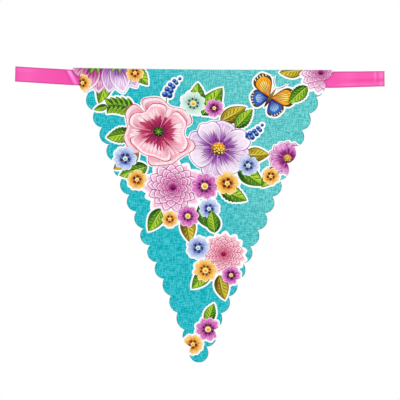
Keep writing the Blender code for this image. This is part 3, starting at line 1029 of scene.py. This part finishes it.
class Finish:
    """A material and short ways to add its nodes.

    sockets are the shader's own numbers and colours. A space in a socket's name is written as an underscore,
    and a socket without a name of its own is i and its number.
    """

    def __init__(self, name, **sockets):
        self.material = bpy.data.materials.new(name)
        self.material.use_nodes = True
        self.tree = self.material.node_tree
        self.surface = self.tree.nodes["Principled BSDF"]
        self.feed(self.surface, **sockets)

    def feed(self, node, **sockets):
        """Links what comes from a node, and sets what is a number or a colour on the socket."""
        for key, value in sockets.items():
            socket = node.inputs[int(key[1:]) if key[1:].isdigit() else key.replace("_", " ")]
            if hasattr(value, "is_linked"):
                self.tree.links.new(value, socket)
            else:
                socket.default_value = (*value, 1.0) if socket.type == "RGBA" else value

    def node(self, kind, settings=None, **sockets):
        made = self.tree.nodes.new("ShaderNode" + kind)
        for key, value in (settings or {}).items():
            setattr(made, key, value)
        self.feed(made, **sockets)
        return made

    def finished(self, colour, height, strength, distance):
        """The material, with its colour and its relief linked."""
        relief = self.node("Bump", Height=height, Strength=strength, Distance=distance).outputs[0]
        self.feed(self.surface, Base_Color=colour, Normal=relief)
        return self.material

    def math(self, operation, first, second=0.5):
        return self.node("Math", {"operation": operation}, i0=first, i1=second).outputs[0]

    def plus(self, first, second):
        return self.math("ADD", first, second)

    def minus(self, first, second):
        return self.math("SUBTRACT", first, second)

    def times(self, first, second):
        return self.math("MULTIPLY", first, second)

    def distance(self, value, middle):
        return self.math("ABSOLUTE", self.minus(value, middle))

    def wave(self, value, turns):
        return self.math("SINE", self.times(value, turns))

    def mix(self, share, first, second, blend_type="MIX"):
        settings = {"data_type": "RGBA", "blend_type": blend_type}
        return self.node("Mix", settings, i0=share, i6=first, i7=second).outputs[2]

    def attribute(self, name, output):
        return self.node("Attribute", {"attribute_name": name}).outputs[output]

    def parts(self, vector):
        """The first two numbers of a vector."""
        return self.node("SeparateXYZ", Vector=vector).outputs[:2]

    def flat(self, layer):
        """A piece's own flat coordinates."""
        return self.node("UVMap", {"uv_map": layer}).outputs[0]

    def millimetres(self):
        """The flat cloth's own coordinates."""
        flat = self.flat("cloth_flat")
        return self.node("VectorMath", {"operation": "SCALE"}, i0=flat, Scale=1 / FLAT_SCALE).outputs[0]

    def noise(self, vector, stretch_by, detail=2.0, roughness=0.5):
        place = self.node("Mapping", Vector=vector, Scale=stretch_by).outputs[0]
        return self.node("TexNoise", Vector=place, Scale=1.0, Detail=detail, Roughness=roughness).outputs[0]

    def ranged(self, value, low, high, to_low=0.0, to_high=1.0, smooth=False):
        settings = {"interpolation_type": "SMOOTHSTEP" if smooth else "LINEAR"}
        ends = {"From_Min": low, "From_Max": high, "To_Min": to_low, "To_Max": to_high}
        return self.node("MapRange", settings, Value=value, **ends).outputs[0]

    def streaked(self, base, line, middle, half, strength, mask, colour):
        """The base with a soft streak of a colour along a line, as far as the mask lets it show."""
        near = self.ranged(self.distance(line, middle), 0.0, half, strength, 0.0, smooth=True)
        return self.mix(self.times(near, mask), base, colour)

    def threads(self, place, long, thick):
        """Uneven threads both ways, from 0 to 1."""
        ways = ((1 / long, 1 / thick, 1.0), (1 / thick, 1 / long, 1.0))
        weft, warp = (self.ranged(self.noise(place, way, 2.5, 0.65), 0.3, 0.7) for way in ways)
        return self.times(self.plus(weft, warp), 0.5)

    def woven(self, place, threads, single):
        """The relief of a plain weave: the over and under of single threads, and the uneven ones."""
        across, down = (self.wave(part, math.pi / THREAD_PITCH) for part in self.parts(place))
        return self.plus(self.times(self.times(across, down), single), self.times(threads, 0.5))


def printed_linen():
    """The print: ground threads, and painted shapes whose colour runs from base to tip in brushed streaks."""
    finish = Finish("printed_linen", Roughness=0.8, Specular_IOR_Level=0.08)
    place = finish.millimetres()
    paint = finish.attribute("paint_place", "Vector")
    ground = finish.attribute("paint_ground", "Fac")
    inner, outer = (finish.attribute(name, "Color") for name in ("paint_inner", "paint_outer"))
    across, along = finish.parts(paint)
    streaks = finish.noise(paint, (5.0, 1.1, 3.0), 3.0, 0.6)
    run = finish.plus(along, finish.times(finish.minus(streaks, 0.5), 0.75))
    colour = finish.mix(finish.ranged(run, 0.12, 0.88, smooth=True), inner, outer)
    tone = finish.ranged(finish.noise(paint, (13.0, 2.2, 5.0), 2.0, 0.6), 0.3, 0.7, 0.86, 1.1)
    painted = finish.mix(1.0, colour, tone, "MULTIPLY")
    bare = finish.math("PINGPONG", finish.times(ground, 2.0), 1.0)
    painted = finish.mix(bare, painted, inner)

    threads = finish.ranged(finish.threads(place, 4.2, 0.62), 0.4, 0.6)
    # The ground grows lighter towards the upper right: partly the print's tint, partly painted sheen of the
    # light from the upper right
    high = finish.ranged(finish.plus(finish.times(along, 0.85), across), 0.2, 1.1, smooth=True)
    ground_tint_and_sheen = finish.mix(high, inner, outer)
    dark = finish.mix(1.0, ground_tint_and_sheen, (0.4, 0.745, 0.765), "MULTIPLY")
    pale = finish.mix(1.0, ground_tint_and_sheen, (1.0, 1.18, 1.17), "MULTIPLY")
    linen = finish.mix(threads, dark, pale)
    linen = finish.mix(finish.ranged(threads, 0.4, 1.0), linen, (0.052, 0.0, 0.0), "ADD")
    both = finish.mix(finish.ranged(ground, 0.6, 0.9), painted, linen)

    from_top = finish.math("ABSOLUTE", finish.parts(place)[1])
    patches = finish.ranged(finish.noise(place, (0.7, 1.6, 1.0), 3.0), 0.3, 0.6, 0.3, 1.0)
    worn = finish.times(finish.ranged(from_top, 0.7, 1.7, 0.75, 0.0, smooth=True), patches)
    both = finish.mix(worn, both, (0.27, 0.4, 0.41))
    return finish.finished(both, finish.woven(place, threads, 0.25), 0.35, 0.0001)


def plain_back():
    """The unprinted inner face: off-white cloth with a plain weave."""
    finish = Finish("plain_back", Roughness=0.85)
    place = finish.millimetres()
    threads = finish.threads(place, 6.0, 0.6)
    colour = finish.mix(finish.ranged(threads, 0.25, 0.75), (0.62, 0.6, 0.55), (0.78, 0.77, 0.73))
    return finish.finished(colour, finish.woven(place, threads, 0.4), 0.5, 0.00012)


def cut_edge():
    """The cut through the cloth: pale fibres, tinted by the print."""
    finish = Finish("cut_edge", Roughness=0.9)
    fibres = finish.noise(finish.millimetres(), (3.0, 3.0, 1.0), 3.0)
    colour = finish.mix(finish.ranged(fibres, 0.35, 0.65), (0.16, 0.5, 0.52), (0.55, 0.68, 0.68))
    return finish.finished(colour, fibres, 0.4, 0.0001)


def pink_satin():
    """Satin: fine floats along the ribbon, a firmer line along each edge, and painted highlights and painted
    shade for its soft bends, edges and ends.
    """
    finish = Finish("pink_satin", Roughness=0.4, Specular_IOR_Level=0.25)
    finish.feed(finish.surface, Sheen_Weight=0.08, Sheen_Tint=(1.0, 0.6, 0.8))
    flat = finish.flat("ribbon_flat")
    along, across = finish.parts(flat)
    run = finish.plus(finish.times(along, RIBBON_REACH), RIBBON_LEFT)
    slant = finish.plus(run, finish.times(finish.minus(across, 0.5), CREASE_LEAN * RIBBON_WIDTH))
    floats = finish.noise(flat, (26.0, 120.0, 1.0))
    base = finish.mix(finish.ranged(floats, 0.3, 0.7), (0.7, 0.043, 0.304), (0.755, 0.063, 0.345))

    # Painted sheen along the ribbon: paler towards both ends and in narrow bands near the right end, where
    # the satin bends
    painted_sheen_ramp = finish.node("ValToRGB", Fac=along)
    painted_sheen_ramp.color_ramp.interpolation = "EASE"
    stops = painted_sheen_ramp.color_ramp.elements
    for number, (x, tone) in enumerate(SATIN_PAINTED_SHEEN):
        stop = stops[number] if number < 2 else stops.new(1.0)
        stop.position = (x - RIBBON_LEFT) / RIBBON_REACH
        stop.color = (tone, tone, tone, 1.0)
    base = finish.mix(painted_sheen_ramp.outputs[0], base, SATIN_PAINTED_HIGHLIGHT)
    # Painted shade in a band along the right part, and painted highlights low on the right and high on the
    # left
    for middle, half, strength, gone, full, colour in PAINTED_LONG_SHADING:
        mask = finish.ranged(run, gone, full, smooth=True)
        base = finish.streaked(base, across, middle, half, strength, mask, colour)
    # The crease's painted shadow at its foot and painted highlight on its crest, and painted highlight and
    # shade on the right end's waves
    for middle, half, strength, low, colour, slants in PAINTED_CROSS_SHADING:
        mask = finish.ranged(across, 0.15, 0.75, low, 1.0)
        base = finish.streaked(base, slant if slants else run, middle, half, strength, mask, colour)

    # Darker along each edge, partly the woven edge's own colour and partly painted shade, and darker at both
    # cut ends, painted shade
    edge = finish.ranged(finish.distance(across, 0.5), 0.39, 0.455, smooth=True)
    end = finish.ranged(finish.distance(along, 0.5), 0.4958, 0.4982, smooth=True)
    base = finish.mix(finish.times(finish.math("MAXIMUM", edge, end), 0.85), base, (0.47, 0.05, 0.235))
    ribs = finish.times(finish.wave(across, math.tau * SATIN_RIBS), 0.3)
    picks = finish.times(finish.wave(along, math.tau * SATIN_PICKS), 0.12)
    height = finish.plus(finish.plus(ribs, picks), finish.times(edge, 0.8))
    return finish.finished(base, height, 0.25, 0.00008)


# The studio


def square_light(name, place, size, watts):
    """A soft light that points at the pennant."""
    data = bpy.data.lights.new(name, "AREA")
    data.size = size
    data.energy = watts
    lamp = bpy.data.objects.new(name, data)
    bpy.context.scene.collection.objects.link(lamp)
    lamp.location = place
    lamp.rotation_euler = (AIM - Vector(place)).to_track_quat("-Z", "Y").to_euler()


def make_studio():
    scene = bpy.context.scene
    scene.view_settings.view_transform = "Standard"
    scene.world = bpy.data.worlds.new("studio")
    scene.world.use_nodes = True
    scene.world.node_tree.nodes["Background"].inputs["Color"].default_value = (1.0, 1.0, 1.0, 1.0)

    bpy.ops.mesh.primitive_plane_add(size=2.8, location=(0, 0, -0.5))
    floor = bpy.context.object
    floor.name = floor.data.name = "floor"
    floor.data.materials.append(Finish("pale_floor", Roughness=0.9, Base_Color=(0.9, 0.9, 0.895)).material)
    square_light("key", (0.55, -1.1, 0.55), 0.7, 5.0)
    square_light("fill", (-0.9, -1.0, 0.1), 0.9, 1.5)

    camera = bpy.data.cameras.new("camera")
    camera.sensor_width = 36.0
    camera.lens = 135.0
    shot = bpy.data.objects.new("camera", camera)
    scene.collection.objects.link(shot)
    away = PICTURE * PIXEL * camera.lens / camera.sensor_width + FACE_DEPTH
    right, up = (PICTURE / 2 - FOLD_RIGHT) * PIXEL, (FOLD_DOWN - PICTURE / 2) * PIXEL
    shot.location = Vector((right, -away, up)) * MM
    shot.rotation_euler = (math.pi / 2, 0, 0)
    scene.camera = shot


def main():
    pennant, cut = make_pennant()
    ribbon = make_ribbon()
    for piece, node, slot in ((pennant, "pennant", "printed_cloth"), (ribbon, "ribbon", "satin_ribbon")):
        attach(piece, "root")
        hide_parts(node)
    make_studio()


main()
